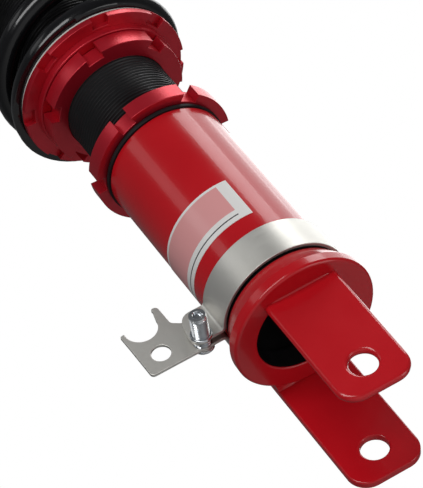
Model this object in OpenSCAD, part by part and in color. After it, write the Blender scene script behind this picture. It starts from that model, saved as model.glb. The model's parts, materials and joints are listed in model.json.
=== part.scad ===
/* [Lower bracket] */

// Outside diameter of the bracket tube
bracket_tube_od = 60;   // [56:0.5:66]
// Height of the bracket tube's top edge above the lower bolt
bracket_top_z = 172.9;   // [150:0.1:200]
// Height of the bracket's lower end face above the lower bolt
bracket_end_z = 50;   // [45:0.5:60]
// Outside radius of the thickened foot of the bracket
foot_r = 35.3;   // [33:0.1:37]
// Bore radius at the open lower end of the bracket
foot_bore_r = 24.4;   // [22:0.1:25]

/* [Fork ears] */

// Clear gap between the two fork ears
fork_gap = 55;   // [45:0.5:60]
// Offset of the fork's middle from the damper axis
fork_offset = 7.3;   // [0:0.1:10]
// Thickness of each ear
ear_t = 4;   // [3:0.25:8]
// Width of each ear
ear_w = 36;   // [30:0.5:44]
// Distance from the bolt centre to the end of an ear
ear_tip = 15.9;   // [13:0.1:22]
// Corner radius at the ear's end
ear_corner_r = 10;   // [4:0.5:15]
// Diameter of the lower bolt hole
bolt_hole_d = 13;   // [10:0.1:16]

/* [Hose bracket clamp] */

// Width of the clamp band
band_w = 18.2;   // [12:0.1:25]
// Height of the band's lower edge above the lower bolt
band_z = 66.8;   // [60:0.1:120]
// Thickness of the band's sheet metal
band_t = 1.6;   // [1:0.1:3]
// Radius of the bolt hole in the hose plate
hose_hole_r = 4.5;   // [3:0.1:6]
// Radius of the open hose slot
hose_slot_r = 7.75;   // [6:0.05:10]
// Diameter of the clamp screw
clamp_screw_d = 6;   // [5:0.5:8]

/* [Threaded body and rings] */

// Outside diameter of the body's thread
thread_d = 53;   // [48:0.5:56]
// Pitch of the body's thread
thread_pitch = 2;   // [1.5:0.5:3]
// Length of the threaded body
body_len = 261;   // [220:1:300]
// Bore diameter of the body
body_bore_d = 44;   // [40:0.5:46]
// Outside radius of the slotted lock rings
ring_r = 35.4;   // [33:0.1:38]
// Height of a slotted lock ring
ring_h = 8.4;   // [7:0.1:12]
// Slots in each lock ring
ring_slots = 6;   // [4:1:8]

/* [Spring and seats] */

// Height of the underside of the perch flange
perch_z = 232.7;   // [225:0.1:260]
// Outside radius of the perch flange
perch_r = 43.1;   // [40:0.1:47]
// Slots in the perch flange
perch_slots = 8;   // [6:1:12]
// Wire diameter of the spring
wire_d = 12;   // [10:0.25:14]
// Mean radius of the spring
spring_r = 41;   // [36:0.5:46]
// Fitted length of the spring
spring_len = 200;   // [150:1:230]
// Active turns of the spring
active_turns = 5.4;   // [4:0.1:7]

/* [Rod and top mount] */

// Diameter of the piston rod
rod_d = 14;   // [12:0.5:16]
// Diameter of the rod's upper thread
rod_thread_d = 12;   // [10:1:14]
// Distance between the two top studs
stud_spacing = 100;   // [80:1:120]
// Diameter of the top studs
stud_d = 10;   // [8:1:12]
// Thickness of the top mount plate
plate_t = 10;   // [8:0.5:14]

/* [Hidden] */

$fn = 96;

red = [0.68, 0.09, 0.12];
steel = [0.72, 0.72, 0.73];
black = [0.05, 0.05, 0.06];
alloy = [0.8, 0.8, 0.82];

run = 0.05;
gap = 0.3;
tube_r = bracket_tube_od / 2;
thread_r = thread_d / 2;
bore_r = body_bore_d / 2;
rod_r = rod_d / 2;
pin_r = rod_thread_d / 2;
wire_r = wire_d / 2;
ear_in_y = fork_offset - fork_gap / 2;
ear_out_y = fork_offset + fork_gap / 2;
body_z = 84;
body_top = body_z + body_len;
collar_z = bracket_top_z + 2.6;
perch_lock_z = perch_z - 3.8 - ring_h;
flange_top = perch_z + 3.4;
spring_z = flange_top + gap + 1.2;
spring_top = spring_z + spring_len;
upper_z = spring_top + gap + 0.1;
seat_z = upper_z + 1.2;
seat_top = seat_z + 5;
ball_z = seat_top + 14;
plate_z = ball_z - plate_t / 2;
rod_top = ball_z + 25;
hose_y = 2.4;
tab_y = -2.6;
screw_x = -40.8;
screw_z = 70.6;
weld_leg = 2.4;
weld_len = 31;
outer_ear_rise = 13;
closed_pitch = wire_d + 0.5;
open_pitch = (spring_len + wire_d / 2 - 2 * closed_pitch) / active_turns;

// Cylinder between two heights
module rod(r, z0, z1) {
    translate([0, 0, z0]) cylinder(r = r, h = z1 - z0);
}

// Tube between two heights
module pipe(r_out, r_in, z0, z1) {
    difference() {
        rod(r_out, z0, z1);
        rod(r_in, z0 - 1, z1 + 1);
    }
}

// Cylinder along Y between two depths
module y_rod(r, x, z, y0, y1) {
    translate([x, y1, z]) rotate([90, 0, 0]) cylinder(r = r, h = y1 - y0);
}

// Flat outline of a fork ear with rounded lower corners
module ear_outline(top) {
    low = ear_corner_r - ear_tip;
    difference() {
        union() {
            translate([-ear_w / 2, low]) square([ear_w, top - low]);
            translate([ear_corner_r - ear_w / 2, -ear_tip])
                square([ear_w - 2 * ear_corner_r, ear_corner_r]);
            for (s = [-1, 1])
                translate([s * (ear_w / 2 - ear_corner_r), low]) circle(ear_corner_r);
        }
        circle(bolt_hole_d / 2);
    }
}

// Ear plate standing between two depths
module ear(y0, top) {
    translate([0, y0 + ear_t, 0])
        rotate([90, 0, 0])
            linear_extrude(ear_t) ear_outline(top);
}

// Slotted ring that a hook spanner turns
module slotted_ring(z, h, r, slots, phase, slot_w, floor_r) {
    difference() {
        union() {
            rod(r, z + 0.6, z + h - 0.6);
            translate([0, 0, z]) cylinder(r1 = r - 0.6, r2 = r, h = 0.6);
            translate([0, 0, z + h - 0.6]) cylinder(r1 = r, r2 = r - 0.6, h = 0.6);
        }
        rod(thread_r + run, z - 1, z + h + 1);
        for (i = [0 : slots - 1])
            rotate([0, 0, phase + i * 360 / slots])
                translate([floor_r, -slot_w / 2, z - 1]) cube([r, slot_w, h + 2]);
    }
}

// Thickened foot of the bracket, conical above and chamfered below
module foot_ring() {
    translate([0, 0, bracket_end_z])
        rotate_extrude()
            polygon([[20, 0], [foot_r - 6.3, 0], [foot_r - 4.8, 0.5], [foot_r - 0.7, 3.7],
                     [foot_r, 4.8], [foot_r - 0.3, 5.9], [foot_r - 5, 15.3], [20, 15.3]]);
}

module bracket_tube() {
    color(red)
    difference() {
        union() {
            rod(tube_r, bracket_end_z + 13, bracket_top_z - 0.6);
            translate([0, 0, bracket_top_z - 0.6]) cylinder(r1 = tube_r, r2 = tube_r - 0.6, h = 0.6);
            foot_ring();
        }
        rod(foot_bore_r, bracket_end_z - 1, bracket_top_z);
        rod(thread_r + run, bracket_end_z + 12, bracket_top_z + 1);
    }
}

module fork_ear_inner() {
    color(red) ear(ear_in_y - ear_t, bracket_end_z);
}

module fork_ear_outer() {
    color(red) ear(ear_out_y, bracket_end_z + outer_ear_rise);
}

module ear_weld_inner() {
    color(red)
    translate([-weld_len / 2, ear_in_y - ear_t, bracket_end_z])
        rotate([90, 0, 90])
            linear_extrude(weld_len)
                translate([-weld_leg, -weld_leg])
                    difference() {
                        square(weld_leg);
                        circle(weld_leg - 0.3);
                    }
}

module ear_weld_outer() {
    color(red)
    difference() {
        translate([-ear_w / 2, 25, bracket_end_z])
            cube([ear_w, ear_out_y - 25, outer_ear_rise]);
        foot_ring();
    }
}

// Outline of the hose plate: bolt hole, open hose slot and two prongs
module hose_plate_outline() {
    difference() {
        union() {
            polygon([[-30.4, band_z], [-30.4, band_z + band_w], [-41.5, band_z + band_w],
                     [-44.6, band_z + band_w + 1.6], [-46.4, band_z + band_w + 3.2],
                     [-47.3, band_z + band_w + 5.6], [-47.4, 98.5], [-51.4, 98.5],
                     [-51.6, 88], [-66, 88], [-67.1, 93.4], [-69.3, 93.9],
                     [-68.9, 77], [-68.2, 69], [-66.6, band_z], [-38, band_z]]);
            translate([-49.4, 98.5]) circle(2);
            translate([-68.3, 93.8]) circle(1.05);
            translate([-66.4, band_z + 1.9]) circle(1.9);
        }
        translate([-59.35, 93.5]) circle(hose_slot_r);
        translate([-59.35 - hose_slot_r, 93.5]) square([2 * hose_slot_r, 12]);
        translate([-58.9, band_z + band_w / 2]) circle(hose_hole_r);
        translate([screw_x, screw_z]) circle(clamp_screw_d / 2 + 0.2);
    }
}

// Outline of the short front tab
module front_tab_outline() {
    difference() {
        hull() {
            translate([-31.4, band_z]) square([1, band_w]);
            translate([-43.3, band_z + 2.8]) circle(2.8);
            translate([-39.4, band_z + band_w - 6.2]) circle(6.2);
        }
        translate([screw_x, screw_z]) circle(clamp_screw_d / 2 + 0.2);
    }
}

module hose_bracket() {
    color(steel)
    union() {
        difference() {
            pipe(tube_r + run + band_t, tube_r + run, band_z, band_z + band_w);
            translate([-40, tab_y + band_t, band_z - 1])
                cube([20, hose_y - tab_y - band_t, band_w + 2]);
        }
        translate([0, hose_y + band_t, 0])
            rotate([90, 0, 0]) linear_extrude(band_t) hose_plate_outline();
        translate([0, tab_y + band_t, 0])
            rotate([90, 0, 0]) linear_extrude(band_t) front_tab_outline();
    }
}

module clamp_screw() {
    color(steel)
    difference() {
        union() {
            y_rod(clamp_screw_d / 2, screw_x, screw_z, -15.6, hose_y + band_t + 1);
            y_rod(4.4, screw_x, screw_z, hose_y + band_t, hose_y + band_t + 2);
        }
        y_rod(1.8, screw_x, screw_z, -16, -14.1);
        translate([screw_x, hose_y + band_t + 3, screw_z])
            rotate([90, 0, 0]) cylinder(r = 2.3, h = 2.4, $fn = 6);
    }
}

module clamp_nut() {
    color(steel)
    difference() {
        y_rod(4.9, screw_x, screw_z, tab_y - 0.8, tab_y);
        y_rod(clamp_screw_d / 2, screw_x, screw_z, tab_y - 5, tab_y + 1);
    }
}

module blank_label() {
    color([0.93, 0.92, 0.91])
    intersection() {
        pipe(tube_r + 0.25, tube_r, 95.3, 119.3);
        rotate([0, 0, -82])
            translate([0, 0, 90])
                rotate_extrude(angle = -126) square([40, 40]);
    }
}

module bracket_seal_ring() {
    color(black) pipe(30.8, thread_r + 0.35, bracket_top_z, collar_z - gap);
}

module bracket_lock_ring() {
    color(red) slotted_ring(collar_z, ring_h, ring_r, ring_slots, -116.6, 8.2, 31.3);
}

module threaded_body() {
    color(black)
    difference() {
        union() {
            rod(thread_r, body_z, body_top - thread_pitch / 2);
            translate([0, 0, body_top - thread_pitch / 2])
                cylinder(r1 = thread_r, r2 = thread_r - thread_pitch / 2, h = thread_pitch / 2);
        }
        rod(bore_r, body_z - 1, body_top + 1);
    }
}

module base_plug() {
    color(black)
    difference() {
        rod(bore_r, body_z, body_z + 14);
        translate([0, 0, body_z + 7])
            rotate_extrude() translate([bore_r - 1.8, -1.4]) square([3, 2.8]);
        rod(4, body_z - 1, body_z + 15);
    }
}

module base_plug_oring() {
    color(black) pipe(bore_r, bore_r - 1.8, body_z + 5.8, body_z + 8.2);
}

module gas_screw() {
    color(steel)
    difference() {
        rod(4, body_z + 1, body_z + 12);
        translate([0, 0, body_z]) cylinder(r = 2, h = 5, $fn = 6);
    }
}

module gas_piston() {
    color(alloy)
    difference() {
        rod(bore_r - run, 130, 146);
        rod(15, 129, 138);
        translate([0, 0, 138])
            rotate_extrude() translate([bore_r - 2.2, -1.6]) square([4, 3.2]);
    }
}

module gas_piston_oring() {
    color(black) pipe(bore_r - run, bore_r - 2.2, 136.6, 139.4);
}

module topout_ring() {
    color([0.25, 0.25, 0.27]) pipe(bore_r, rod_r + 4, 309.9, 316);
}

module rod_guide() {
    color(alloy) pipe(bore_r, rod_r + run, 316, 334);
}

module rod_seal() {
    color(black) pipe(15, rod_r + run, 334, 341);
}

module gland_nut() {
    color(black)
    difference() {
        union() {
            rod(bore_r, 334, body_top);
            rod(bore_r + 3, body_top, body_top + 4);
        }
        rod(15, 333, 341);
        rod(rod_r + 0.6, 340, body_top + 5);
        for (i = [0 : 3])
            rotate([0, 0, i * 90]) translate([18, 0, body_top + 1]) cylinder(r = 2, h = 5);
    }
}

module perch_lock_ring() {
    color(red) slotted_ring(perch_lock_z, ring_h, ring_r, ring_slots, -101.2, 8.2, 31.3);
}

module spring_perch() {
    color(red)
    difference() {
        union() {
            rod(36.4, perch_z - 3.5, perch_z + 0.1);
            slotted_ring(perch_z, flange_top - 0.7 - perch_z, perch_r, perch_slots, -83.7, 8.6, 38);
            rod(perch_r, flange_top - 0.7, flange_top);
            rod(34.6, flange_top - 0.1, flange_top + 8);
        }
        rod(thread_r + run, perch_z - 5, flange_top + 9);
    }
}

module perch_washer() {
    color([0.9, 0.9, 0.88]) pipe(perch_r - 0.6, 35, flange_top + gap, spring_z);
}

// Rise of the wire's centre after a number of turns, with one closed turn at each end
function wire_rise(t) =
    t < 1 ? closed_pitch * t
    : t > active_turns + 1
        ? closed_pitch * (t - active_turns) + open_pitch * active_turns
    : closed_pitch + open_pitch * (t - 1);

module coil_spring() {
    steps = 30;
    n = round((active_turns + 2) * steps);
    m = 10;
    points = [for (i = [0 : n], j = [0 : m - 1])
        let (a = i * 360 / steps + 70, b = j * 360 / m, r = spring_r + wire_r * cos(b),
             z = spring_z - wire_d / 4 + wire_rise(i / steps) + wire_r * sin(b))
        [r * cos(a), r * sin(a), min(max(z, spring_z), spring_top)]];
    sides = [for (i = [0 : n - 1], j = [0 : m - 1])
        [i * m + j, i * m + (j + 1) % m, (i + 1) * m + (j + 1) % m, (i + 1) * m + j]];
    first = [[for (j = [0 : m - 1]) m - 1 - j]];
    last = [[for (j = [0 : m - 1]) n * m + j]];
    color(black) polyhedron(points, concat(sides, first, last), convexity = 10);
}

module piston_rod() {
    color(steel)
    union() {
        rod(5, 289.5, 312);
        rod(rod_r, 312, seat_z);
        rod(pin_r, seat_z, rod_top);
    }
}

module piston() {
    color(alloy)
    difference() {
        rod(bore_r - 0.4, 300, 308.5);
        rod(5, 299, 310);
        pipe(bore_r, bore_r - 1.6, 301.5, 307);
        for (i = [0 : 5])
            rotate([0, 0, i * 60]) translate([11.5, 0, 299]) cylinder(r = 2.2, h = 11);
    }
}

module piston_band() {
    color(black) pipe(bore_r - run, bore_r - 1.6, 301.5, 307);
}

module rebound_shims() {
    color(steel) pipe(15, 5, 298.8, 300);
}

module compression_shims() {
    color(steel)
    union() {
        pipe(15, 5, 308.5, 309.6);
        pipe(10, 5, 309.6, 312);
    }
}

module piston_nut() {
    color(steel)
    difference() {
        translate([0, 0, 291]) cylinder(r = 9.5, h = 7.8, $fn = 6);
        rod(5, 290, 300);
    }
}

module bump_stop() {
    color([0.8, 0.72, 0.45])
    difference() {
        rotate_extrude()
            polygon([[5, upper_z - 20.4], [12, upper_z - 20.4], [14, upper_z - 18], [13, upper_z - 15],
                     [16.5, upper_z - 11], [15, upper_z - 7.5], [18, upper_z - 4], [18, upper_z - 0.2],
                     [5, upper_z - 0.2]]);
        rod(rod_r, upper_z - 28, upper_z + 1);
    }
}

module dust_boot() {
    color(black)
    difference() {
        rotate_extrude()
            polygon(concat([[30.4, upper_z - 0.2]],
                [for (i = [0 : 11]) [i % 2 == 0 ? 32.6 : 30.6, upper_z - 6 - i * 8.4]],
                [[31.2, upper_z - 104], [29.4, upper_z - 104]],
                [for (i = [11 : -1 : 0]) [i % 2 == 0 ? 30.8 : 28.8, upper_z - 6 - i * 8.4]],
                [[20, upper_z - 2], [20, upper_z - 0.2]]));
    }
}

module upper_washer() {
    color([0.9, 0.9, 0.88]) pipe(perch_r, 35, upper_z, seat_z);
}

module upper_seat() {
    color(red)
    difference() {
        union() {
            rod(45, seat_z + 0.8, seat_top - 0.8);
            translate([0, 0, seat_z]) cylinder(r1 = 44.2, r2 = 45, h = 0.8);
            translate([0, 0, seat_top - 0.8]) cylinder(r1 = 45, r2 = 44.2, h = 0.8);
            pipe(34.6, 32.8, seat_z - 9, seat_z + 1);
            rod(33, upper_z - 0.2, seat_z + 0.5);
        }
        rod(pin_r, seat_z - 0.1, seat_top + 1);
        rod(rod_r, upper_z - 1, seat_z);
    }
}

module seat_spacer() {
    color(alloy)
    difference() {
        translate([0, 0, seat_top]) cylinder(r1 = 14, r2 = 8.6, h = ball_z - 7 - seat_top);
        rod(pin_r, seat_top - 1, ball_z);
    }
}

module pivot_ball() {
    color(steel)
    difference() {
        intersection() {
            translate([0, 0, ball_z]) sphere(r = 11);
            rod(12, ball_z - 7, ball_z + 7);
        }
        rod(pin_r, ball_z - 8, ball_z + 8);
    }
}

module rod_washer() {
    color(steel) pipe(8.4, pin_r, ball_z + 7, ball_z + 9);
}

module rod_nut() {
    color(steel)
    difference() {
        union() {
            translate([0, 0, ball_z + 9]) cylinder(r = 10.4, h = 9, $fn = 6);
            rod(7.6, ball_z + 17, ball_z + 20);
        }
        rod(pin_r, ball_z + 8, ball_z + 21);
    }
}

// Outline of the two-stud mount plate
module plate_outline(r_mid, r_end) {
    hull() {
        circle(r_mid);
        translate([0, stud_spacing / 2]) circle(r_end);
        translate([0, -stud_spacing / 2]) circle(r_end);
    }
}

module mount_plate() {
    color(red)
    difference() {
        translate([0, 0, plate_z]) linear_extrude(plate_t) plate_outline(30, 14);
        rod(15.5, ball_z - 3.2, plate_z + plate_t + 1);
        rod(14, plate_z - 1, ball_z);
        translate([0, 0, ball_z + 3.9])
            rotate_extrude() translate([15, -0.7]) square([1.7, 1.4]);
        for (s = [-1, 1])
            translate([0, s * stud_spacing / 2, 0]) {
                rod(stud_d / 2 + 0.5, plate_z - 1, plate_z + plate_t + 1);
                rod(8, plate_z - 1, plate_z + 3);
            }
    }
}

module ball_race() {
    color(steel)
    difference() {
        rod(15.5, ball_z - 3.2, ball_z + 3.2);
        translate([0, 0, ball_z]) sphere(r = 11.08);
    }
}

module race_snap_ring() {
    color(steel)
    difference() {
        pipe(16.7, 13.6, ball_z + 3.2, ball_z + 4.6);
        translate([0, -3, ball_z]) cube([20, 6, 10]);
    }
}

module mount_studs() {
    color(steel)
    for (s = [-1, 1])
        translate([0, s * stud_spacing / 2, 0]) {
            rod(8, plate_z, plate_z + 3);
            rod(stud_d / 2 + 0.5, plate_z + 3, plate_z + plate_t);
            rod(stud_d / 2, plate_z + plate_t, plate_z + plate_t + 26);
            translate([0, 0, plate_z + plate_t + 26])
                cylinder(r1 = stud_d / 2, r2 = stud_d / 2 - 1, h = 1);
        }
}

bracket_tube();
fork_ear_inner();
fork_ear_outer();
ear_weld_inner();
ear_weld_outer();
hose_bracket();
clamp_screw();
clamp_nut();
blank_label();
bracket_seal_ring();
bracket_lock_ring();
threaded_body();
base_plug();
base_plug_oring();
gas_screw();
gas_piston();
gas_piston_oring();
topout_ring();
rod_guide();
rod_seal();
gland_nut();
perch_lock_ring();
spring_perch();
perch_washer();
coil_spring();
piston_rod();
piston();
piston_band();
rebound_shims();
compression_shims();
piston_nut();
bump_stop();
dust_boot();
upper_washer();
upper_seat();
seat_spacer();
pivot_ball();
rod_washer();
rod_nut();
mount_plate();
ball_race();
race_snap_ring();
mount_studs();
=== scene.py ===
import bpy
import bmesh
import json
from math import acos, asin, atan2, cos, degrees, hypot, inf, pi, radians, sin, sqrt, tan, tau
from mathutils import Matrix, Vector

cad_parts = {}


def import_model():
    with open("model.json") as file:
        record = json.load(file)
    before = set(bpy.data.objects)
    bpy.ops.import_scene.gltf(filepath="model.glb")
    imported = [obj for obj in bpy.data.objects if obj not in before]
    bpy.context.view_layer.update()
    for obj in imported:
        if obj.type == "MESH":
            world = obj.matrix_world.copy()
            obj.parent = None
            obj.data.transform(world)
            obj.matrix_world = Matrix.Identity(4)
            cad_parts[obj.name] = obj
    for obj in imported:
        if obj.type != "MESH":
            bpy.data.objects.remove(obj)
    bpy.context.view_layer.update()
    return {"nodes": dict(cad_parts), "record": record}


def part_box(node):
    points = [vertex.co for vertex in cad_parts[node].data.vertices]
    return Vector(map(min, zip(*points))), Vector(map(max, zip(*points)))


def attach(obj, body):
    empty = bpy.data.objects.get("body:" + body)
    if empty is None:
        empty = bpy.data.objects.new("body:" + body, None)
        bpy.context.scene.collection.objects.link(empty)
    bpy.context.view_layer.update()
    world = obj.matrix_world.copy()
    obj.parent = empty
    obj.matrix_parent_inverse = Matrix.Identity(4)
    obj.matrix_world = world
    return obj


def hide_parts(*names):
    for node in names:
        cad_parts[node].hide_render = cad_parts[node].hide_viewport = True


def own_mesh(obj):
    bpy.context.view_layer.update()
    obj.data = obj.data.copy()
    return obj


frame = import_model()
MM = 0.001

# Outlines are drawn in millimetres in the CAD frame, and each piece is scaled to metres when it is made.


# ---------------------------------------------------------------- sizes, and places taken from the frame

def low(node):
    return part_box(node)[0] / MM


def high(node):
    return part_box(node)[1] / MM


TUBE_R = 30.0
BODY_BORE = 26.55
BODY_IN = 22.0
FOOT_BORE = 24.4
THREAD_R = high("threaded_body").x
THREAD_PITCH = 2.0
FOOT_R = high("bracket_tube").x
FOOT_Z = low("bracket_tube").z
TUBE_TOP = high("bracket_tube").z
EAR_HALF = high("fork_ear_inner").x
EAR_TIP = -low("fork_ear_inner").z
EAR_CORNER = 10.0
BOLT_R = 6.5
BAND_Z = low("hose_bracket").z
BAND_W = 18.2
BAND_IN = TUBE_R + 0.05
SHEET = 1.6
# The flat tabs are drawn from x = PLATE_CUT and cut off at PLATE_EDGE, where the band's bends end.
PLATE_CUT = -30.0
PLATE_EDGE = -34.4
PLATE_Y = 2.4
TAB_Y = -2.6
EYE_X = -58.9
EYE_R = 4.5
SCREW_X = (low("clamp_screw").x + high("clamp_screw").x) / 2
SCREW_Z = (low("clamp_screw").z + high("clamp_screw").z) / 2
SCREW_R = 4.0
RING_R = 35.4
PERCH_R = 43.1
ROD_R = 7.0
ROD_TIP_R = 6.0
STUD_R = 5.0
STUD_REACH = 50.0


# ---------------------------------------------------------------- mesh helpers

def arc(cx, cy, r, start, end, steps):
    """Points along an arc, in degrees."""
    turn = [radians(start + (end - start) * i / steps) for i in range(steps + 1)]
    return [(cx + r * cos(a), cy + r * sin(a)) for a in turn]


def rounded(points, steps=6):
    """Closed outline from (u, v, corner radius) points, with each corner as an arc."""
    out = []
    count = len(points)
    for i, (u, v, r) in enumerate(points):
        here = Vector((u, v))
        before = Vector(points[i - 1][:2]) - here
        after = Vector(points[(i + 1) % count][:2]) - here
        if r <= 0:
            out.append((u, v))
            continue
        angle = before.angle(after)
        reach = min(r / tan(angle / 2), 0.49 * before.length, 0.49 * after.length)
        r = reach * tan(angle / 2)
        middle = here + (before.normalized() + after.normalized()).normalized() * (r / sin(angle / 2))
        first = here + before.normalized() * reach - middle
        last = here + after.normalized() * reach - middle
        start = atan2(first.y, first.x)
        sweep = (atan2(last.y, last.x) - start + pi) % tau - pi
        for k in range(steps + 1):
            a = start + sweep * k / steps
            out.append((middle.x + r * cos(a), middle.y + r * sin(a)))
    return out


def grid_faces(bm, rings, close_rings, close_row):
    """Joins rows of vertices into quads."""
    rows = len(rings)
    for i in range(rows if close_rings else rows - 1):
        a, b = rings[i], rings[(i + 1) % rows]
        count = len(a)
        for j in range(count if close_row else count - 1):
            k = (j + 1) % count
            bm.faces.new((a[j], a[k], b[k], b[j]))


def circle(bm, r, z, segments):
    """Ring of vertices about Z."""
    turn = [tau * j / segments for j in range(segments)]
    return [bm.verts.new((r * cos(a), r * sin(a), z)) for a in turn]


def hexagon(bm, corner_r, z, segments, limit=inf):
    """Ring of vertices on a hexagon about Z, with its corners cut off at a largest radius."""
    ring = []
    for j in range(segments):
        a = tau * j / segments
        r = min(corner_r * cos(pi / 6) / cos(a % (pi / 3) - pi / 6), limit)
        ring.append(bm.verts.new((r * cos(a), r * sin(a), z)))
    return ring


def lathe(profile, segments=128, closed=True):
    """Turns (r, z) points about Z. A closed profile is a ring, an open one a surface."""
    bm = bmesh.new()
    rings = [circle(bm, r, z, segments) for r, z in profile]
    grid_faces(bm, rings, closed, True)
    return bm


def cap(bm, z):
    """Closes the open ring at height z with one face."""
    edges = [e for e in bm.edges if e.is_boundary and all(abs(v.co.z - z) < 1e-4 for v in e.verts)]
    bmesh.ops.contextual_create(bm, geom=edges)


def threaded(radius, pitch, depth, z0, z1, segments=96):
    """Helical thread surface between two plain circles."""
    form = (0.0, 0.0, 0.55, 1.0, 0.9, 0.4)
    per = len(form)
    bm = bmesh.new()
    rings = []
    for i in range(-per, int((z1 - z0) / pitch * per) + 1):
        ring = []
        for j in range(segments):
            a = tau * j / segments
            z = z0 + pitch * (i / per + j / segments)
            fade = max(0.0, min(1.0, (z - z0) / pitch, (z1 - z) / pitch))
            r = radius - depth * form[i % per] * fade
            ring.append(bm.verts.new((r * cos(a), r * sin(a), min(max(z, z0), z1))))
        rings.append(ring)
    for a, b in zip(rings, rings[1:]):
        for j in range(segments - 1):
            bm.faces.new((a[j], a[j + 1], b[j + 1], b[j]))
    for i in range(len(rings) - per - 1):
        a, b = rings[i], rings[i + 1]
        up_a, up_b = rings[i + per], rings[i + per + 1]
        bm.faces.new((a[-1], up_a[0], up_b[0], b[-1]))
    bmesh.ops.remove_doubles(bm, verts=bm.verts, dist=1e-4)
    return bm


def merge(*parts):
    """Joins several meshes into the first."""
    base = parts[0]
    for part in parts[1:]:
        mesh = bpy.data.meshes.new("part")
        part.to_mesh(mesh)
        part.free()
        base.from_mesh(mesh)
        bpy.data.meshes.remove(mesh)
    return base


def weld(bm, dist=1e-3):
    bmesh.ops.remove_doubles(bm, verts=bm.verts, dist=dist)
    bmesh.ops.recalc_face_normals(bm, faces=bm.faces)
    return bm


def plate(loops, thick, bevel):
    """Flat plate about z = 0 from outlines, the first outside and the others holes, with round edges."""
    curve = bpy.data.curves.new("plate", "CURVE")
    curve.dimensions = "2D"
    curve.fill_mode = "BOTH"
    curve.extrude = thick / 2 - bevel
    curve.bevel_depth = bevel
    curve.bevel_resolution = 3
    curve.offset = -bevel
    for loop in loops:
        spline = curve.splines.new("POLY")
        spline.points.add(len(loop) - 1)
        for point, (u, v) in zip(spline.points, loop):
            point.co = (u, v, 0, 1)
        spline.use_cyclic_u = True
    holder = bpy.data.objects.new("plate", curve)
    bpy.context.scene.collection.objects.link(holder)
    graph = bpy.context.evaluated_depsgraph_get()
    mesh = bpy.data.meshes.new_from_object(holder.evaluated_get(graph))
    bm = bmesh.new()
    bm.from_mesh(mesh)
    bpy.data.objects.remove(holder)
    bpy.data.curves.remove(curve)
    bpy.data.meshes.remove(mesh)
    return weld(bm)


def upright(bm, y, x=0.0, z=0.0):
    """Turns what was drawn along +Z to -Y, with its origin at (x, y, z)."""
    place = Matrix.Translation((x, y, z)) @ Matrix.Rotation(pi / 2, 4, "X")
    bmesh.ops.transform(bm, verts=bm.verts, matrix=place)
    return bm


def shift(bm, y=0.0, z=0.0):
    bmesh.ops.translate(bm, verts=bm.verts, vec=(0, y, z))
    return bm


def cut(bm, point, normal):
    """Cuts away what is on the normal's side and closes the cut."""
    geom = bm.verts[:] + bm.edges[:] + bm.faces[:]
    done = bmesh.ops.bisect_plane(bm, geom=geom, dist=1e-5, plane_co=point, plane_no=normal, clear_outer=True)
    edges = [e for e in done["geom_cut"] if isinstance(e, bmesh.types.BMEdge) and e.is_boundary]
    bmesh.ops.triangle_fill(bm, edges=edges, use_beauty=True)
    return bm


def piece(name, bm, body, slot, nodes, sharp=32.0, weighted=True, other=None):
    """Makes the object in metres, rides it on its body and lets it stand for its CAD nodes.
    other is (slot, test): the faces whose middle passes the test take that slot's material."""
    marked = [other[1](face.calc_center_median()) for face in bm.faces] if other else []
    bmesh.ops.recalc_face_normals(bm, faces=bm.faces)
    bmesh.ops.scale(bm, verts=bm.verts, vec=(MM, MM, MM))
    for face in bm.faces:
        face.smooth = True
    for edge in bm.edges:
        edge.smooth = len(edge.link_faces) == 2 and edge.calc_face_angle(0.0) < radians(sharp)
    mesh = bpy.data.meshes.new(name)
    bm.to_mesh(mesh)
    bm.free()
    obj = bpy.data.objects.new(name, mesh)
    bpy.context.scene.collection.objects.link(obj)
    if weighted:
        even = obj.modifiers.new("even_shading", "WEIGHTED_NORMAL")
        even.keep_sharp = True
        even.weight = 60
    mesh.materials.append(MATERIALS[slot])
    if other:
        mesh.materials.append(MATERIALS[other[0]])
        mesh.polygons.foreach_set("material_index", [int(mark) for mark in marked])
    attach(obj, body)
    if nodes:
        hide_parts(*nodes)
    return obj


# ---------------------------------------------------------------- materials

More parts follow.
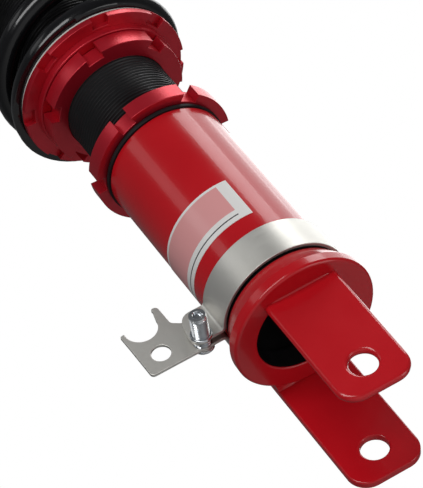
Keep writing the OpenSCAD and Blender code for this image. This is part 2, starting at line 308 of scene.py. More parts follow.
class Shader:
    """A Principled material with helpers for its texture nodes, in object coordinates in metres."""

    def __init__(self, name, **values):
        self.material = bpy.data.materials.new(name)
        self.material.use_nodes = True
        self.tree = self.material.node_tree
        self.bsdf = self.tree.nodes["Principled BSDF"]
        self.coords = self.tree.nodes.new("ShaderNodeTexCoord").outputs["Object"]
        for key, value in values.items():
            self.bsdf.inputs[key.replace("_", " ")].default_value = value

    def link(self, output, target):
        self.tree.links.new(output, target)

    def node(self, kind, **values):
        made = self.tree.nodes.new(kind)
        for key, value in values.items():
            if hasattr(made, key):
                setattr(made, key, value)
            else:
                made.inputs[key.replace("_", " ")].default_value = value
        return made

    def around(self, across, along):
        """Coordinates for marks that run round Z: radius and height finely, angle coarsely."""
        split = self.node("ShaderNodeSeparateXYZ")
        self.link(self.coords, split.inputs[0])
        flat = self.node("ShaderNodeCombineXYZ")
        self.link(split.outputs["X"], flat.inputs["X"])
        self.link(split.outputs["Y"], flat.inputs["Y"])
        length = self.node("ShaderNodeVectorMath", operation="LENGTH")
        self.link(flat.outputs[0], length.inputs[0])
        angle = self.node("ShaderNodeMath", operation="ARCTAN2")
        self.link(split.outputs["Y"], angle.inputs[0])
        self.link(split.outputs["X"], angle.inputs[1])
        axes = ((length.outputs["Value"], across), (angle.outputs[0], along), (split.outputs["Z"], across))
        joined = self.node("ShaderNodeCombineXYZ")
        for (source, scale), target in zip(axes, joined.inputs):
            scaled = self.node("ShaderNodeMath", operation="MULTIPLY")
            scaled.inputs[1].default_value = scale
            self.link(source, scaled.inputs[0])
            self.link(scaled.outputs[0], target)
        return joined.outputs[0]

    def noise(self, scale, detail=3.0, vector=None):
        made = self.node("ShaderNodeTexNoise", Scale=scale, Detail=detail)
        self.link(vector or self.coords, made.inputs["Vector"])
        return made.outputs["Fac"]

    def ramp(self, source, stops):
        made = self.node("ShaderNodeValToRGB")
        band = made.color_ramp
        while len(band.elements) < len(stops):
            band.elements.new(0.5)
        for element, (place, colour) in zip(band.elements, stops):
            element.position = place
            element.color = (*colour, 1) if isinstance(colour, tuple) else (colour, colour, colour, 1)
        self.link(source, made.inputs["Fac"])
        return made.outputs["Color"]

    def colour(self, source, dark, light, lo=0.3, hi=0.7):
        self.link(self.ramp(source, [(lo, dark), (hi, light)]), self.bsdf.inputs["Base Color"])

    def roughness(self, source, smooth, rough, lo=0.3, hi=0.7):
        self.link(self.ramp(source, [(lo, smooth), (hi, rough)]), self.bsdf.inputs["Roughness"])

    def bump(self, *layers):
        """Each layer is (height output, strength, distance in metres)."""
        normal = None
        for source, strength, distance in layers:
            made = self.node("ShaderNodeBump", Strength=strength, Distance=distance)
            self.link(source, made.inputs["Height"])
            if normal:
                self.link(normal, made.inputs["Normal"])
            normal = made.outputs["Normal"]
        self.link(normal, self.bsdf.inputs["Normal"])


def red_paint():
    s = Shader("red_paint", Coat_Weight=0.35, Coat_Roughness=0.05, Specular_IOR_Level=0.35)
    s.colour(s.noise(18.0), (0.52, 0.005, 0.011), (0.59, 0.008, 0.015))
    s.roughness(s.noise(60.0), 0.20, 0.27)
    s.bump((s.noise(420.0, 1.0), 0.10, 0.0004), (s.noise(1700.0, 2.0), 0.03, 0.0002))
    return s.material


def red_anodised():
    s = Shader("red_anodised", Metallic=0.55, Coat_Weight=0.25, Coat_Roughness=0.2)
    s.colour(s.noise(30.0), (0.50, 0.008, 0.022), (0.60, 0.014, 0.032))
    s.roughness(s.noise(4.0, 3.0, s.around(700.0, 2.0)), 0.30, 0.42)
    s.bump((s.noise(6.0, 2.0, s.around(900.0, 3.0)), 0.12, 0.0001), (s.noise(2600.0, 2.0), 0.05, 0.0001))
    return s.material


def stainless():
    s = Shader("stainless", Metallic=0.72)
    grain = s.noise(1.0, 4.0, s.around(1600.0, 6.0))
    s.colour(s.noise(22.0), (0.66, 0.65, 0.60), (0.76, 0.75, 0.71))
    s.roughness(grain, 0.38, 0.45)
    s.bump((grain, 0.02, 0.0001), (s.noise(60.0, 2.0), 0.05, 0.0005))
    return s.material


def zinc_steel():
    s = Shader("zinc_steel", Metallic=1.0)
    s.colour(s.noise(300.0), (0.60, 0.64, 0.68), (0.80, 0.81, 0.82))
    s.roughness(s.noise(500.0), 0.16, 0.27)
    s.bump((s.noise(1500.0), 0.08, 0.0001))
    return s.material


def label_film():
    """White film with a thin dark rule near its lower edge and a plain tinted panel."""
    s = Shader("label_film", Roughness=0.32, Coat_Weight=0.3, Coat_Roughness=0.12)
    bottom, top = low("blank_label").z * MM, high("blank_label").z * MM
    split = s.node("ShaderNodeSeparateXYZ")
    s.link(s.coords, split.inputs[0])
    height = s.node("ShaderNodeMapRange")
    height.inputs["From Min"].default_value = bottom
    height.inputs["From Max"].default_value = top
    s.link(split.outputs["Z"], height.inputs["Value"])
    angle = s.node("ShaderNodeMath", operation="ARCTAN2")
    s.link(split.outputs["X"], angle.inputs[0])
    s.link(split.outputs["Y"], angle.inputs[1])
    paper = (0.86, 0.85, 0.83)
    ink = (0.05, 0.045, 0.05)
    tint = (0.79, 0.355, 0.355)
    stripes = [(0.0, paper), (0.105, ink), (0.13, paper), (0.24, tint), (0.945, paper)]
    rows = s.ramp(height.outputs[0], stripes)
    rows.node.color_ramp.interpolation = "CONSTANT"
    turn = s.node("ShaderNodeMapRange")
    turn.inputs["From Min"].default_value = radians(-180.0)
    turn.inputs["From Max"].default_value = radians(180.0)
    s.link(angle.outputs[0], turn.inputs["Value"])
    ends = s.ramp(turn.outputs[0], [(0.0, 1.0), (0.006, 0.0), (0.9, 1.0)])
    ends.node.color_ramp.interpolation = "CONSTANT"
    mix = s.node("ShaderNodeMix", data_type="RGBA")
    s.link(ends, mix.inputs["Factor"])
    s.link(rows, mix.inputs["A"])
    mix.inputs["B"].default_value = (*paper, 1)
    s.link(mix.outputs["Result"], s.bsdf.inputs["Base Color"])
    s.bump((s.noise(160.0, 2.0), 0.05, 0.0003))
    return s.material


def seal_rubber():
    s = Shader("seal_rubber", Specular_IOR_Level=0.2)
    s.colour(s.noise(80.0), (0.010, 0.010, 0.011), (0.018, 0.018, 0.019))
    s.roughness(s.noise(120.0), 0.45, 0.62)
    s.bump((s.noise(1200.0), 0.12, 0.0002))
    return s.material


def black_steel():
    s = Shader("black_steel", Specular_IOR_Level=0.3)
    s.colour(s.noise(60.0), (0.005, 0.005, 0.006), (0.010, 0.010, 0.011))
    s.roughness(s.noise(2.0, 3.0, s.around(500.0, 4.0)), 0.30, 0.46)
    s.bump((s.noise(2.0, 2.0, s.around(1400.0, 5.0)), 0.08, 0.0001))
    return s.material


def spring_paint():
    s = Shader("spring_paint", Coat_Weight=0.4, Coat_Roughness=0.03, Specular_IOR_Level=0.3)
    s.colour(s.noise(25.0), (0.004, 0.004, 0.005), (0.007, 0.007, 0.008))
    s.roughness(s.noise(90.0), 0.16, 0.26)
    s.bump((s.noise(260.0, 1.0), 0.08, 0.0005), (s.noise(1500.0, 2.0), 0.02, 0.0002))
    return s.material


def nylon():
    s = Shader("nylon", Subsurface_Weight=0.15, IOR=1.5)
    s.bsdf.inputs["Subsurface Radius"].default_value = (0.002, 0.002, 0.0015)
    s.colour(s.noise(70.0), (0.72, 0.70, 0.66), (0.82, 0.80, 0.77))
    s.roughness(s.noise(200.0), 0.35, 0.5)
    s.bump((s.noise(900.0), 0.06, 0.0001))
    return s.material


def hard_chrome():
    s = Shader("hard_chrome", Metallic=1.0)
    s.colour(s.noise(40.0), (0.70, 0.71, 0.73), (0.80, 0.81, 0.83))
    s.roughness(s.noise(2.0, 3.0, s.around(1500.0, 3.0)), 0.05, 0.12)
    s.bump((s.noise(2.0, 2.0, s.around(2500.0, 3.0)), 0.03, 0.0001))
    return s.material


def bare_alloy():
    s = Shader("bare_alloy", Metallic=1.0)
    turned = s.noise(2.0, 2.0, s.around(1500.0, 2.0))
    s.colour(s.noise(50.0), (0.62, 0.62, 0.64), (0.74, 0.74, 0.76))
    s.roughness(turned, 0.22, 0.36)
    s.bump((turned, 0.12, 0.0001))
    return s.material


def bearing_polymer():
    s = Shader("bearing_polymer", IOR=1.5)
    s.colour(s.noise(300.0), (0.06, 0.05, 0.045), (0.10, 0.09, 0.08))
    s.roughness(s.noise(300.0), 0.4, 0.55)
    s.bump((s.noise(1500.0), 0.05, 0.0001))
    return s.material


def bump_foam():
    s = Shader("bump_foam")
    s.colour(s.noise(240.0), (0.50, 0.34, 0.10), (0.64, 0.46, 0.16))
    s.roughness(s.noise(400.0), 0.6, 0.8)
    s.bump((s.noise(1400.0, 4.0), 0.3, 0.0003))
    return s.material


def spring_steel():
    s = Shader("spring_steel", Metallic=1.0)
    s.colour(s.noise(80.0), (0.45, 0.45, 0.47), (0.56, 0.56, 0.58))
    s.roughness(s.noise(3.0, 2.0, s.around(1200.0, 3.0)), 0.15, 0.25)
    s.bump((s.noise(1800.0), 0.04, 0.0001))
    return s.material


def studio_floor():
    s = Shader("studio_floor", Roughness=0.7)
    s.colour(s.noise(3.0), (0.80, 0.80, 0.80), (0.83, 0.83, 0.83))
    return s.material


MATERIALS = {make.__name__: make() for make in (
    red_paint, red_anodised, stainless, zinc_steel, label_film, seal_rubber, black_steel, spring_paint,
    nylon, hard_chrome, bare_alloy, bearing_polymer, bump_foam, spring_steel)}


def dress_cad_nodes():
    """Gives every CAD node its slot's material."""
    for part in frame["record"]["subparts"]:
        mesh = frame["nodes"][part["node"]].data
        mesh.materials.clear()
        mesh.materials.append(MATERIALS[part["material_slot"]])


# ---------------------------------------------------------------- lower bracket

def bracket_tube():
    foot = FOOT_Z
    groove_r = TUBE_R - 1.5
    profile = rounded([
        (TUBE_R, TUBE_TOP, 0.9), (TUBE_R, foot + 17.2, 0.4), (groove_r, foot + 16.9, 0.3),
        (groove_r, foot + 15.5, 0.3), (TUBE_R + 0.3, foot + 15.2, 0.5), (FOOT_R, foot + 5.6, 0.8),
        (FOOT_R + 0.2, foot, 1.6), (FOOT_BORE, foot, 0.9), (FOOT_BORE, foot + 12, 0.4),
        (BODY_BORE, foot + 12.3, 0.2), (BODY_BORE, TUBE_TOP, 0.5)], steps=8)

    # Faces inside the bore take black steel. The groove faces under the band take black as painted shade,
    # standing in for the dark gap between the band and the foot.
    def black_bore_and_groove_shade(middle):
        r = hypot(middle.x, middle.y)
        in_bore = r < BODY_BORE + 0.4 and middle.z > foot + 0.8
        in_groove = r < TUBE_R - 0.1 and foot + 15.3 < middle.z < foot + 17.3
        return in_bore or in_groove

    piece("bracket_tube_shell", lathe(profile, 192), "bracket", "red_paint", ["bracket_tube"],
          other=("black_steel", black_bore_and_groove_shade))


def ear_loops(top):
    outline = rounded([
        (-EAR_HALF, top, 2.2), (-EAR_HALF, -EAR_TIP, EAR_CORNER), (EAR_HALF, -EAR_TIP, EAR_CORNER),
        (EAR_HALF, top, 2.2)], steps=20)
    return [outline, arc(0, 0, BOLT_R, 0, 355, 71)]


def fork_ear(node, edge):
    lo, hi = low(node), high(node)
    bm = plate(ear_loops(hi.z + edge + 0.2), hi.y - lo.y, edge)
    piece(node + "_plate", upright(bm, (hi.y + lo.y) / 2), "bracket", "red_paint", [node])


def inner_weld():
    """Fillet under the end face, highest in the middle and running out at both ends."""
    lo, hi = low("ear_weld_inner"), high("ear_weld_inner")
    half, leg = (hi.x - lo.x) / 2, 1.5
    across, steps = 64, 12
    bm = bmesh.new()
    rings = []
    for i in range(across + 1):
        x = -half + 2 * half * i / across
        size = leg * max(0.1, 1 - abs(x / half) ** 8) * (1 + 0.02 * sin(x * 1.7))
        ring = [bm.verts.new((x, hi.y + 0.8, hi.z + 0.3))]
        for k in range(steps + 1):
            a = pi / 2 * k / steps
            y = hi.y + 0.25 - size * (1 - sin(a))
            z = hi.z + 0.1 - size * (1 - cos(a))
            ring.append(bm.verts.new((x, y, z)))
        rings.append(ring)
    grid_faces(bm, rings, False, True)
    for ring in (rings[0], rings[-1]):
        bm.faces.new(ring)
    piece("inner_ear_weld", bm, "bracket", "red_paint", ["ear_weld_inner"], sharp=50)


def outer_weld():
    """Pad between the foot's side and the outer ear, wider where it meets the foot."""
    lo, hi = low("ear_weld_outer"), high("ear_weld_outer")
    half = hi.x
    across, steps = 48, 12
    r = FOOT_R - 0.9
    bm = bmesh.new()
    rings = []
    for i in range(across + 1):
        u = 2 * i / across - 1
        outline = []
        for k in range(steps + 1):
            t = k / steps
            x = u * (half + 3.0 * (1 - t) ** 2)
            y_in = sqrt(r * r - (half + 3.0) ** 2 * u * u)
            outline.append((x, y_in + (hi.y - y_in) * t, 0.5 + 0.9 * sin(pi * t)))
        ring = [bm.verts.new((x, y, lo.z + sag)) for x, y, sag in outline]
        ring += [bm.verts.new((x, y, hi.z - 0.2 * sag)) for x, y, sag in reversed(outline)]
        rings.append(ring)
    grid_faces(bm, rings, False, True)
    for ring in (rings[0], rings[-1]):
        for k in range(steps):
            bm.faces.new((ring[k], ring[k + 1], ring[-k - 2], ring[-k - 1]))
    piece("outer_ear_pad", bm, "bracket", "red_paint", ["ear_weld_outer"], sharp=50)


# ---------------------------------------------------------------- hose bracket

def strip_path():
    """Middle line of the band in plan: out of the front tab, round the tube and into the plate."""
    mid = BAND_IN + SHEET / 2
    bend = 2.4
    front, back = TAB_Y + SHEET / 2, PLATE_Y + SHEET / 2
    reach = mid + bend
    x_front = -sqrt(reach ** 2 - (front - bend) ** 2)
    x_back = -sqrt(reach ** 2 - (back + bend) ** 2)
    a_front = degrees(atan2(front - bend, x_front))
    a_back = degrees(atan2(back + bend, x_back))
    path = [(PLATE_EDGE, front)]
    path += arc(x_front, front - bend, bend, 90, 180 + a_front, 8)
    path += arc(0, 0, mid, a_front, a_back, 180)[1:-1]
    path += arc(x_back, back + bend, bend, a_back - 180, -90, 8)
    path.append((PLATE_EDGE, back))
    return path


def band_strip():
    path = strip_path()
    h, w, r = SHEET / 2, BAND_W / 2, 0.3
    section = rounded([(h, -w, r), (h, w, r), (-h, w, r), (-h, -w, r)], steps=3)
    z_mid = BAND_Z + BAND_W / 2
    bm = bmesh.new()
    rings = []
    for i, (x, y) in enumerate(path):
        before = Vector(path[max(i - 1, 0)])
        after = Vector(path[min(i + 1, len(path) - 1)])
        along = (after - before).normalized()
        side = Vector((along.y, -along.x))
        rings.append([bm.verts.new((x + side.x * n, y + side.y * n, z_mid + v)) for n, v in section])
    grid_faces(bm, rings, False, True)
    for ring in (rings[0], rings[-1]):
        bm.faces.new(ring)
    return bm


def hose_plate_outline():
    """Bolt hole plate with an open slot between a wide prong and a short hook."""
    z0, z1 = BAND_Z, BAND_Z + BAND_W
    slot_x, slot_z, slot_r = -59.35, z0 + 26.7, 7.75
    outline = rounded([(PLATE_CUT, z0, 0), (PLATE_CUT, z1, 0), (-42.6, z1, 5.0), (-47.0, z1 + 3.4, 2.6),
                       (-47.4, z0 + 33.7, 2.0), (-51.4, z0 + 33.7, 2.0)], 8)
    outline += arc(slot_x, slot_z, slot_r, 0, -178, 28)
    outline += rounded([(-67.2, slot_z + 1.4, 0.6), (-69.3, slot_z + 1.2, 0.9), (-69.0, z0 + 20, 0),
                        (-68.6, z0, 2.0), (-50.0, z0, 0)], 6)
    return outline


def front_tab_outline():
    z0, z1 = BAND_Z, BAND_Z + BAND_W
    return rounded([(PLATE_CUT, z0, 0), (PLATE_CUT, z1, 0), (-43.8, z1, 6.0), (-46.1, z0 + 6.5, 6.0),
                    (-46.1, z0, 2.8)], 10)


def hose_bracket():
    screw_hole = arc(SCREW_X, SCREW_Z, SCREW_R + 0.2, 0, 352, 44)
    eye = arc(EYE_X, BAND_Z + BAND_W / 2, EYE_R, 0, 353, 47)
    rear = upright(plate([hose_plate_outline(), eye, screw_hole], SHEET, 0.3), PLATE_Y + SHEET / 2)
    front = upright(plate([front_tab_outline(), screw_hole], SHEET, 0.3), TAB_Y + SHEET / 2)
    for tab in (rear, front):
        cut(tab, (PLATE_EDGE, 0, 0), (1, 0, 0))
    bm = merge(band_strip(), rear, front)
    piece("hose_bracket_sheet", bm, "bracket", "stainless", ["hose_bracket"])


def clamp_screw():
    """Threaded screw with a socket head behind the plate and a round recess in its front end."""
    lo, hi = low("clamp_screw"), high("clamp_screw")
    length, head, r = hi.y - lo.y, 1.9, SCREW_R
    end = length - 0.35
    shank = threaded(r, 1.25, 0.6, head - 0.5, end, 72)
    recess = length - 1.5
    tip = lathe([(r, end), (r - 0.4, length), (2.4, length), (2.1, length - 0.3), (1.9, recess)], 72, False)
    cap(tip, recess)
    bm = merge(weld(merge(shank, tip)), hex_socket_head(5.2, head, 2.3, 1.1))
    screw = upright(bm, hi.y, SCREW_X, SCREW_Z)
    piece("clamp_screw_threaded", screw, "bracket", "zinc_steel", ["clamp_screw"])


def hex_socket_head(radius, height, socket, deep):
    """Round head from z = 0 to height with a six-sided socket in its z = 0 end."""
    bm = bmesh.new()
    segments = 72
    outer = rounded([(0.5, height, 0), (radius, height, 0.3), (radius, 0.0, 0.9)], 5)[1:]
    rings = [circle(bm, r, z, segments) for r, z in outer]
    rings += [hexagon(bm, socket * grow, z, segments) for z, grow in ((0.0, 1.08), (0.35, 1.0), (deep, 1.0))]
    grid_faces(bm, rings, False, True)
    bm.faces.new(rings[-1])
    bm.faces.new(rings[0])
    return bm


def clamp_nut():
    """Thin round press nut on the front tab."""
    lo, hi = low("clamp_nut"), high("clamp_nut")
    thick, r = hi.y - lo.y, SCREW_R
    profile = rounded([(r, 0.0, 0), (5.2, 0.0, 0), (5.2, 0.1, 0.1), (4.8, thick, 0.4),
                       (r + 0.1, thick, 0.1), (r, thick - 0.1, 0)], 5)
    nut = upright(lathe(profile, 72), hi.y, SCREW_X, SCREW_Z)
    piece("clamp_press_nut", nut, "bracket", "zinc_steel", ["clamp_nut"])


# ---------------------------------------------------------------- label and seal

def blank_label():
    z0, z1 = low("blank_label").z, high("blank_label").z
    start, end, steps = radians(-82.0), radians(-208.0), 120
    inner, outer = TUBE_R + 0.01, TUBE_R + 0.2
    bm = bmesh.new()
    rings = []
    for i in range(steps + 1):
        a = start + (end - start) * i / steps
        ring = [(inner, z0), (outer, z0), (outer, (z0 + z1) / 2), (outer, z1), (inner, z1)]
        rings.append([bm.verts.new((r * cos(a), r * sin(a), z)) for r, z in ring])
    grid_faces(bm, rings, False, True)
    for ring in (rings[0], rings[-1]):
        bm.faces.new(ring)
    piece("blank_film_label", bm, "bracket", "label_film", ["blank_label"])


def seal_ring():
    lo, hi = low("bracket_seal_ring"), high("bracket_seal_ring")
    profile = rounded([(hi.x, lo.z, 0.3), (hi.x, hi.z, 0.9), (26.9, hi.z, 0.3), (26.9, lo.z, 0.3)], 6)
    piece("bracket_mouth_seal", lathe(profile, 160), "bracket", "seal_rubber", ["bracket_seal_ring"])


# ---------------------------------------------------------------- slotted rings and perch

def slotted_outline(radius, floor_r, count, phase, slot_w):
    """Round outline with straight-sided spanner slots."""
    half_in = degrees(asin(slot_w / 2 / floor_r))
    half_out = degrees(asin(slot_w / 2 / radius))
    points = []
    for i in range(count):
        middle = phase + i * 360 / count
        points += arc(0, 0, floor_r, middle - half_in, middle + half_in, 4)
        points += arc(0, 0, radius, middle + half_out, middle + 360 / count - half_out, 24)
    return points


def lock_ring(name, node, body, phase):
    lo, hi = low(node), high(node)
    outline = slotted_outline(RING_R, 31.3, 6, phase, 8.2)
    bore = arc(0, 0, BODY_BORE, 0, 357.5, 143)
    bm = shift(plate([outline, bore], hi.z - lo.z, 0.3), z=(hi.z + lo.z) / 2)
    piece(name, bm, body, "red_anodised", [node])


def spring_perch():
    lo, hi = low("spring_perch"), high("spring_perch")
    under, over = lo.z + 3.5, lo.z + 6.9
    disc = over - 0.7
    outline = slotted_outline(PERCH_R, 38.0, 8, -83.7, 8.6)
    inner = arc(0, 0, 33.5, 0, 357.5, 143)
    flange = shift(plate([outline, inner], disc + 0.3 - under, 0.25), z=(disc + 0.3 + under) / 2)
    band = [(34.0, disc, 0), (PERCH_R, disc, 0.2), (PERCH_R, over, 0.3), (34.0, over, 0)]
    roof = lathe(rounded(band, 4), 192)
    hub = lathe(rounded([
        (BODY_BORE, lo.z, 0.5), (36.4, lo.z, 0.5), (36.4, under + 0.6, 0), (33.9, under + 0.6, 0),
        (33.9, over - 0.6, 0), (34.6, over - 0.5, 0), (34.6, hi.z, 0.9), (30.5, hi.z, 0.4),
        (30.5, over + 0.6, 0.6), (BODY_BORE, over + 0.6, 0.4)], 5), 160)
    piece("spring_perch_turned", merge(flange, roof, hub), "perch", "red_anodised", ["spring_perch"])


def washer(name, node, body):
    lo, hi = low(node), high(node)
    edge = (hi.z - lo.z) * 0.3
    bore = 35.05
    profile = rounded([(hi.x, lo.z, edge), (hi.x, hi.z, edge), (bore, hi.z, 0.2), (bore, lo.z, 0.2)], 4)
    piece(name, lathe(profile, 160), body, "nylon", [node])


# ---------------------------------------------------------------- damper body

def threaded_body():
    lo, hi = low("threaded_body"), high("threaded_body")
    plain = lo.z + 40
    top = hi.z - 1.0
    outside = threaded(THREAD_R, THREAD_PITCH, 1.0, plain, top, 144)
    shell = lathe([(THREAD_R, top), (THREAD_R - 1.0, hi.z), (BODY_IN + 0.4, hi.z), (BODY_IN, hi.z - 0.4),
                   (BODY_IN, lo.z + 0.4), (BODY_IN + 0.4, lo.z), (THREAD_R - 1.0, lo.z),
                   (THREAD_R, lo.z + 1.0), (THREAD_R, plain)], 144, False)
    bm = weld(merge(outside, shell))
    piece("threaded_damper_body", bm, "damper_body", "black_steel", ["threaded_body"],
          sharp=40, weighted=False)


def base_plug():
    lo, hi = low("base_plug"), high("base_plug")
    face = lo.z + 0.2
    dish = lo.z + 1.2
    profile = rounded([(21.98, face, 0.5), (21.98, hi.z, 0.4), (4.0, hi.z, 0.2), (4.0, face, 0.5),
                       (7.0, face, 0.4), (7.6, dish, 0.4), (17.0, dish, 0.5), (17.8, face, 0.4)], 4)
    piece("base_plug_turned", lathe(profile, 128), "damper_body", "black_steel", ["base_plug"])


def gland_nut():
    lo, hi = low("gland_nut"), high("gland_nut")
    neck = hi.z - 4
    profile = rounded([(21.9, lo.z, 0.4), (21.9, neck, 0), (25.0, neck, 0.4), (25.0, hi.z, 0.8),
                       (10.0, hi.z, 0.6), (7.7, hi.z - 1.6, 0.3), (7.7, neck - 4, 0), (15.0, neck - 4, 0),
                       (15.0, lo.z, 0.3)], 5)
    piece("gland_nut_turned", lathe(profile, 128), "damper_body", "black_steel", ["gland_nut"])


# ---------------------------------------------------------------- spring

def coil_spring():
    lo, hi = low("coil_spring"), high("coil_spring")
    wire, radius, turns, closed = 6.0, 41.0, 7.4, 12.5
    bottom = lo.z - wire / 2
    open_rise = (hi.z - lo.z + wire - 2 * closed) / (turns - 2)
    per_turn, around = 60, 28

    def rise(t):
        if t < 1:
            return closed * t
        if t > turns - 1:
            return closed * (t - turns + 2) + open_rise * (turns - 2)
        return closed + open_rise * (t - 1)

    count = round(turns * per_turn)
    bm = bmesh.new()
    rings = []
    for i in range(count + 1):
        t = i / per_turn
        a = radians(70) + tau * t
        z = bottom + sum(rise(min(max(t + d, 0), turns)) for d in (-0.08, -0.04, 0, 0.04, 0.08)) / 5
        ring = []
        for j in range(around):
            b = tau * j / around
            r = radius + wire * cos(b)
            ring.append(bm.verts.new((r * cos(a), r * sin(a), z + wire * sin(b))))
        rings.append(ring)
    grid_faces(bm, rings, False, True)
    for ring in (rings[0], rings[-1]):
        bm.faces.new(ring)
    cut(bm, (0, 0, lo.z), (0, 0, -1))
    cut(bm, (0, 0, hi.z), (0, 0, 1))
    spring = piece("coil_spring_wire", bm, "spring_slide", "spring_paint", ["coil_spring"],
                   sharp=50, weighted=False)
    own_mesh(spring)


# ---------------------------------------------------------------- rod and top mount

def dust_boot():
    lo, hi = low("dust_boot"), high("dust_boot")
    folds, thick = 12, 1.2
    wall = []
    steps = folds * 12
    for i in range(steps + 1):
        t = i / steps
        wall.append((30.9 + 1.15 * sin(tau * folds * t - pi / 2), hi.z - 5.5 - t * (hi.z - lo.z - 9.5)))
    outer = [(31.0, hi.z - 0.3), (31.0, hi.z - 4.0)] + wall
    outer += [(31.4, lo.z + 2.2), (31.4, lo.z + 0.3), (31.0, lo.z)]
    inner = [(29.6, lo.z), (29.6, lo.z + 2.6)] + [(r - thick, z) for r, z in reversed(wall)]
    inner += [(29.4, hi.z - 2.2), (20.2, hi.z - 2.0), (20.2, hi.z), (30.7, hi.z)]
    piece("dust_boot_bellows", lathe(outer + inner, 144), "rod", "seal_rubber", ["dust_boot"], weighted=False)


def upper_seat():
    lo, hi = low("upper_seat"), high("upper_seat")
    seat = hi.z - 5
    profile = rounded([
        (ROD_TIP_R, hi.z, 0.2), (20.0, hi.z, 0.5), (20.6, hi.z - 0.8, 0.5), (38.0, hi.z - 0.8, 0.5),
        (38.6, hi.z, 0.5), (45.0, hi.z, 0.9), (45.0, seat, 0.9), (34.6, seat, 0.3), (34.6, lo.z, 0.7),
        (33.0, lo.z, 0.4), (33.0, seat - 1.3, 0.2), (ROD_R, seat - 1.3, 0.2), (ROD_R, seat, 0.1),
        (ROD_TIP_R, seat, 0.1)], 5)
    piece("upper_seat_turned", lathe(profile, 160), "rod", "red_anodised", ["upper_seat"])


def seat_spacer():
    lo, hi = low("seat_spacer"), high("seat_spacer")
    profile = rounded([(ROD_TIP_R, lo.z, 0), (14.0, lo.z, 0.5), (13.4, lo.z + 1.6, 1.0),
                       (8.6, hi.z - 1.0, 0.6), (8.6, hi.z, 0.3), (ROD_TIP_R, hi.z, 0)], 5)
    piece("seat_spacer_turned", lathe(profile, 96), "rod", "bare_alloy", ["seat_spacer"])


def pivot_ball():
    lo, hi = low("pivot_ball"), high("pivot_ball")
    mid, half = (lo.z + hi.z) / 2, (hi.z - lo.z) / 2
    ball_r = 11.0
    end = degrees(asin(half / ball_r))
    profile = arc(0, mid, ball_r, -end, end, 40)
    profile += [(6.3, hi.z), (ROD_TIP_R, hi.z - 0.3), (ROD_TIP_R, lo.z + 0.3), (6.3, lo.z)]
    piece("pivot_ball_ground", lathe(profile, 128), "rod", "spring_steel", ["pivot_ball"])


def piston_rod():
    lo, hi = low("piston_rod"), high("piston_rod")
    shoulder = high("upper_seat").z - 5
    thread_from = low("rod_washer").z - 3
    thread_to = hi.z - 1.0
    piston_face = 312.0
    thread = threaded(ROD_TIP_R, 1.25, 0.7, thread_from, thread_to, 64)
    tip = lathe([(ROD_TIP_R, thread_to), (5.0, hi.z), (2.2, hi.z), (2.0, hi.z - 3.0)], 64, False)
    cap(tip, hi.z - 3.0)
    shank = lathe([(ROD_TIP_R, thread_from), (ROD_TIP_R, shoulder), (ROD_R - 0.1, shoulder),
                   (ROD_R, shoulder - 0.3), (ROD_R, piston_face + 0.4), (ROD_R - 0.4, piston_face),
                   (5.0, piston_face), (5.0, lo.z + 0.6), (4.4, lo.z)], 64, False)
    cap(shank, lo.z)
    bm = weld(merge(thread, tip, shank))
    piece("piston_rod_ground", bm, "rod", "hard_chrome", ["piston_rod"], weighted=False)


def hex_nut(corner_r, z0, z1, bore, chamfer):
    """Hexagonal nut body with round chamfered corners and a bore."""
    segments = 72
    bm = bmesh.new()
    rings = []
    for z, limit in ((z0, corner_r * 0.90), (z0 + chamfer, inf), (z1 - chamfer, inf), (z1, corner_r * 0.90)):
        rings.append(hexagon(bm, corner_r, z, segments, limit))
    for r, z in ((bore + 0.5, z1), (bore, z1 - 0.5), (bore, z0 + 0.5), (bore + 0.5, z0)):
        rings.append(circle(bm, r, z, segments))
    grid_faces(bm, rings, True, True)
    return bm


def rod_nut():
    lo, hi = low("rod_nut"), high("rod_nut")
    bore = ROD_TIP_R + 0.05
    neck = lo.z + 8.6
    body = hex_nut(10.4, lo.z, lo.z + 9, bore, 0.9)
    collar = lathe(rounded([(bore, neck, 0), (7.6, neck, 0), (7.6, hi.z, 0.7), (bore, hi.z, 0.4)], 5), 72)
    piece("rod_lock_nut", merge(body, collar), "rod", "zinc_steel", ["rod_nut"])


def rod_washer():
    lo, hi = low("rod_washer"), high("rod_washer")
    bore = ROD_TIP_R + 0.05
    profile = rounded([(bore, lo.z, 0.1), (8.4, lo.z, 0.3), (8.4, hi.z, 0.5), (bore, hi.z, 0.2)], 4)
    piece("rod_washer_pressed", lathe(profile, 96), "rod", "zinc_steel", ["rod_washer"])


def mount_plate():
    lo, hi = low("mount_plate"), high("mount_plate")
    end_r, mid_r = hi.y - STUD_REACH, hi.x
    lean = degrees(acos((mid_r - end_r) / STUD_REACH))
    outline = arc(0, STUD_REACH, end_r, 90 - lean, 90 + lean, 24)
    outline += arc(0, 0, mid_r, 90 + lean, 270 - lean, 24)
    outline += arc(0, -STUD_REACH, end_r, 270 - lean, 270 + lean, 24)
    outline += arc(0, 0, mid_r, -90 + lean, 90 - lean, 24)
    loops = [outline, arc(0, 0, 16.9, 0, 357, 119)]
    loops += [arc(0, side * STUD_REACH, STUD_R + 0.5, 0, 352.5, 47) for side in (-1, 1)]
    ball_z = (hi.z + lo.z) / 2
    race = 3.2
    clip = 4.6
    seat = rounded([(16.95, lo.z + 0.3, 0.2), (14.0, lo.z + 0.3, 0.8), (14.0, ball_z - race, 0.1),
                    (15.5, ball_z - race, 0), (15.5, ball_z + race, 0), (16.7, ball_z + race, 0),
                    (16.7, ball_z + clip, 0), (15.2, ball_z + clip, 0.1), (15.7, hi.z - 0.1, 0.1),
                    (16.95, hi.z - 0.1, 0)], 4)
    bm = merge(shift(plate(loops, hi.z - lo.z, 0.8), z=ball_z), lathe(seat, 120))
    piece("mount_plate_milled", bm, "top_mount", "red_anodised", ["mount_plate"])


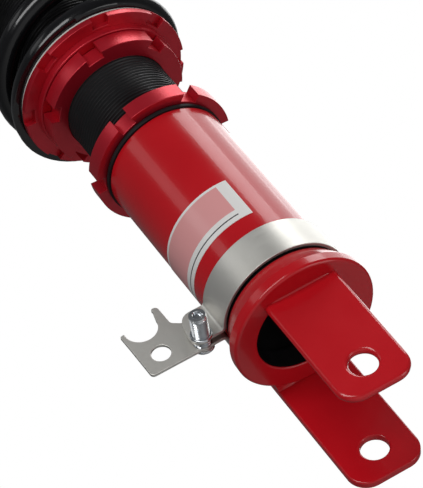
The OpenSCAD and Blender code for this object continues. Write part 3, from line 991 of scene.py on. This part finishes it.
def mount_studs():
    lo, hi = low("mount_studs"), high("mount_studs")
    start, end = lo.z + 11.5, hi.z - 1.0
    knurl_r, head_r = 5.49, 8.0
    studs = []
    for side in (-1, 1):
        thread = threaded(STUD_R, 1.5, 0.8, start, end, 64)
        tip = lathe([(STUD_R, end), (STUD_R - 1.0, hi.z), (0.6, hi.z)], 64, False)
        cap(tip, hi.z)
        shank = lathe([(STUD_R, start), (STUD_R, lo.z + 10.2), (5.2, lo.z + 10.0), (knurl_r, lo.z + 9.7),
                       (knurl_r, lo.z + 3.0), (head_r, lo.z + 3.0), (head_r, lo.z + 0.5),
                       (head_r - 0.5, lo.z), (0.6, lo.z)], 64, False)
        cap(shank, lo.z)
        studs.append(shift(weld(merge(thread, tip, shank)), y=side * STUD_REACH))
    piece("mount_studs_m10", merge(*studs), "top_mount", "zinc_steel", ["mount_studs"], weighted=False)


# ---------------------------------------------------------------- scene

def build_object():
    dress_cad_nodes()
    bracket_tube()
    fork_ear("fork_ear_inner", 1.9)
    fork_ear("fork_ear_outer", 0.9)
    inner_weld()
    outer_weld()
    hose_bracket()
    clamp_screw()
    clamp_nut()
    blank_label()
    seal_ring()
    lock_ring("bracket_lock_ring_turned", "bracket_lock_ring", "bracket_ring", -116.6)
    lock_ring("perch_lock_ring_turned", "perch_lock_ring", "perch_ring", -101.2)
    spring_perch()
    washer("perch_slip_washer", "perch_washer", "spring_slide")
    washer("upper_slip_washer", "upper_washer", "rod")
    threaded_body()
    base_plug()
    gland_nut()
    coil_spring()
    dust_boot()
    upper_seat()
    seat_spacer()
    pivot_ball()
    piston_rod()
    rod_nut()
    rod_washer()
    mount_plate()
    mount_studs()


def camera():
    """Looks up at the bracket from below, rolled so that the damper's axis leans to the left."""
    data = bpy.data.cameras.new("camera")
    data.sensor_width = 36.0
    data.lens = 193.11
    cam = bpy.data.objects.new("camera", data)
    cam.location = (-0.31016, -0.87062, -0.61757)
    cam.rotation_euler = (radians(136.053), radians(30.129), radians(8.463))
    bpy.context.scene.collection.objects.link(cam)
    bpy.context.scene.camera = cam


AIM = Vector((0.0, 0.0, 0.14))


def softbox(name, azimuth, elevation, distance, width, height, power):
    """Rectangular light that faces the object."""
    data = bpy.data.lights.new(name, "AREA")
    data.shape = "RECTANGLE"
    data.size = width
    data.size_y = height
    data.energy = power
    lamp = bpy.data.objects.new(name, data)
    a, e = radians(azimuth), radians(elevation)
    toward = Vector((cos(a) * cos(e), sin(a) * cos(e), sin(e)))
    lamp.location = AIM + toward * distance
    lamp.rotation_euler = toward.to_track_quat("Z", "Y").to_euler()
    bpy.context.scene.collection.objects.link(lamp)


def lights():
    softbox("key_softbox", -33, 39, 1.3, 0.5, 0.6, 3.9)
    softbox("right_panel", 0, 38, 1.4, 0.8, 0.6, 2.5)
    softbox("front_softbox", -112, 2, 1.5, 1.1, 0.5, 11)
    softbox("side_strip", -138, 42, 1.4, 0.4, 0.8, 0.9)
    softbox("low_panel", -28, -50, 1.0, 0.6, 0.35, 1.2)
    softbox("back_panel", 42, 35, 1.6, 1.2, 0.9, 7)


def world():
    """White for the camera, soft grey for light and reflections."""
    scene_world = bpy.data.worlds.new("studio")
    bpy.context.scene.world = scene_world
    scene_world.use_nodes = True
    tree = scene_world.node_tree
    tree.nodes.clear()
    path = tree.nodes.new("ShaderNodeLightPath")
    seen = tree.nodes.new("ShaderNodeBackground")
    seen.inputs["Color"].default_value = (1, 1, 1, 1)
    seen.inputs["Strength"].default_value = 1.0
    lit = tree.nodes.new("ShaderNodeBackground")
    lit.inputs["Color"].default_value = (0.95, 0.97, 1, 1)
    lit.inputs["Strength"].default_value = 0.10
    mix = tree.nodes.new("ShaderNodeMixShader")
    out = tree.nodes.new("ShaderNodeOutputWorld")
    tree.links.new(path.outputs["Is Camera Ray"], mix.inputs[0])
    tree.links.new(lit.outputs[0], mix.inputs[1])
    tree.links.new(seen.outputs[0], mix.inputs[2])
    tree.links.new(mix.outputs[0], out.inputs["Surface"])


def floor():
    """Pale floor well below the part and the camera."""
    bm = bmesh.new()
    bmesh.ops.create_grid(bm, x_segments=2, y_segments=2, size=6.0)
    mesh = bpy.data.meshes.new("floor")
    bm.to_mesh(mesh)
    bm.free()
    mesh.materials.append(studio_floor())
    obj = bpy.data.objects.new("floor", mesh)
    obj.location.z = -0.85
    bpy.context.scene.collection.objects.link(obj)


bpy.context.scene.view_settings.view_transform = "Standard"
camera()
world()
lights()
floor()
build_object()
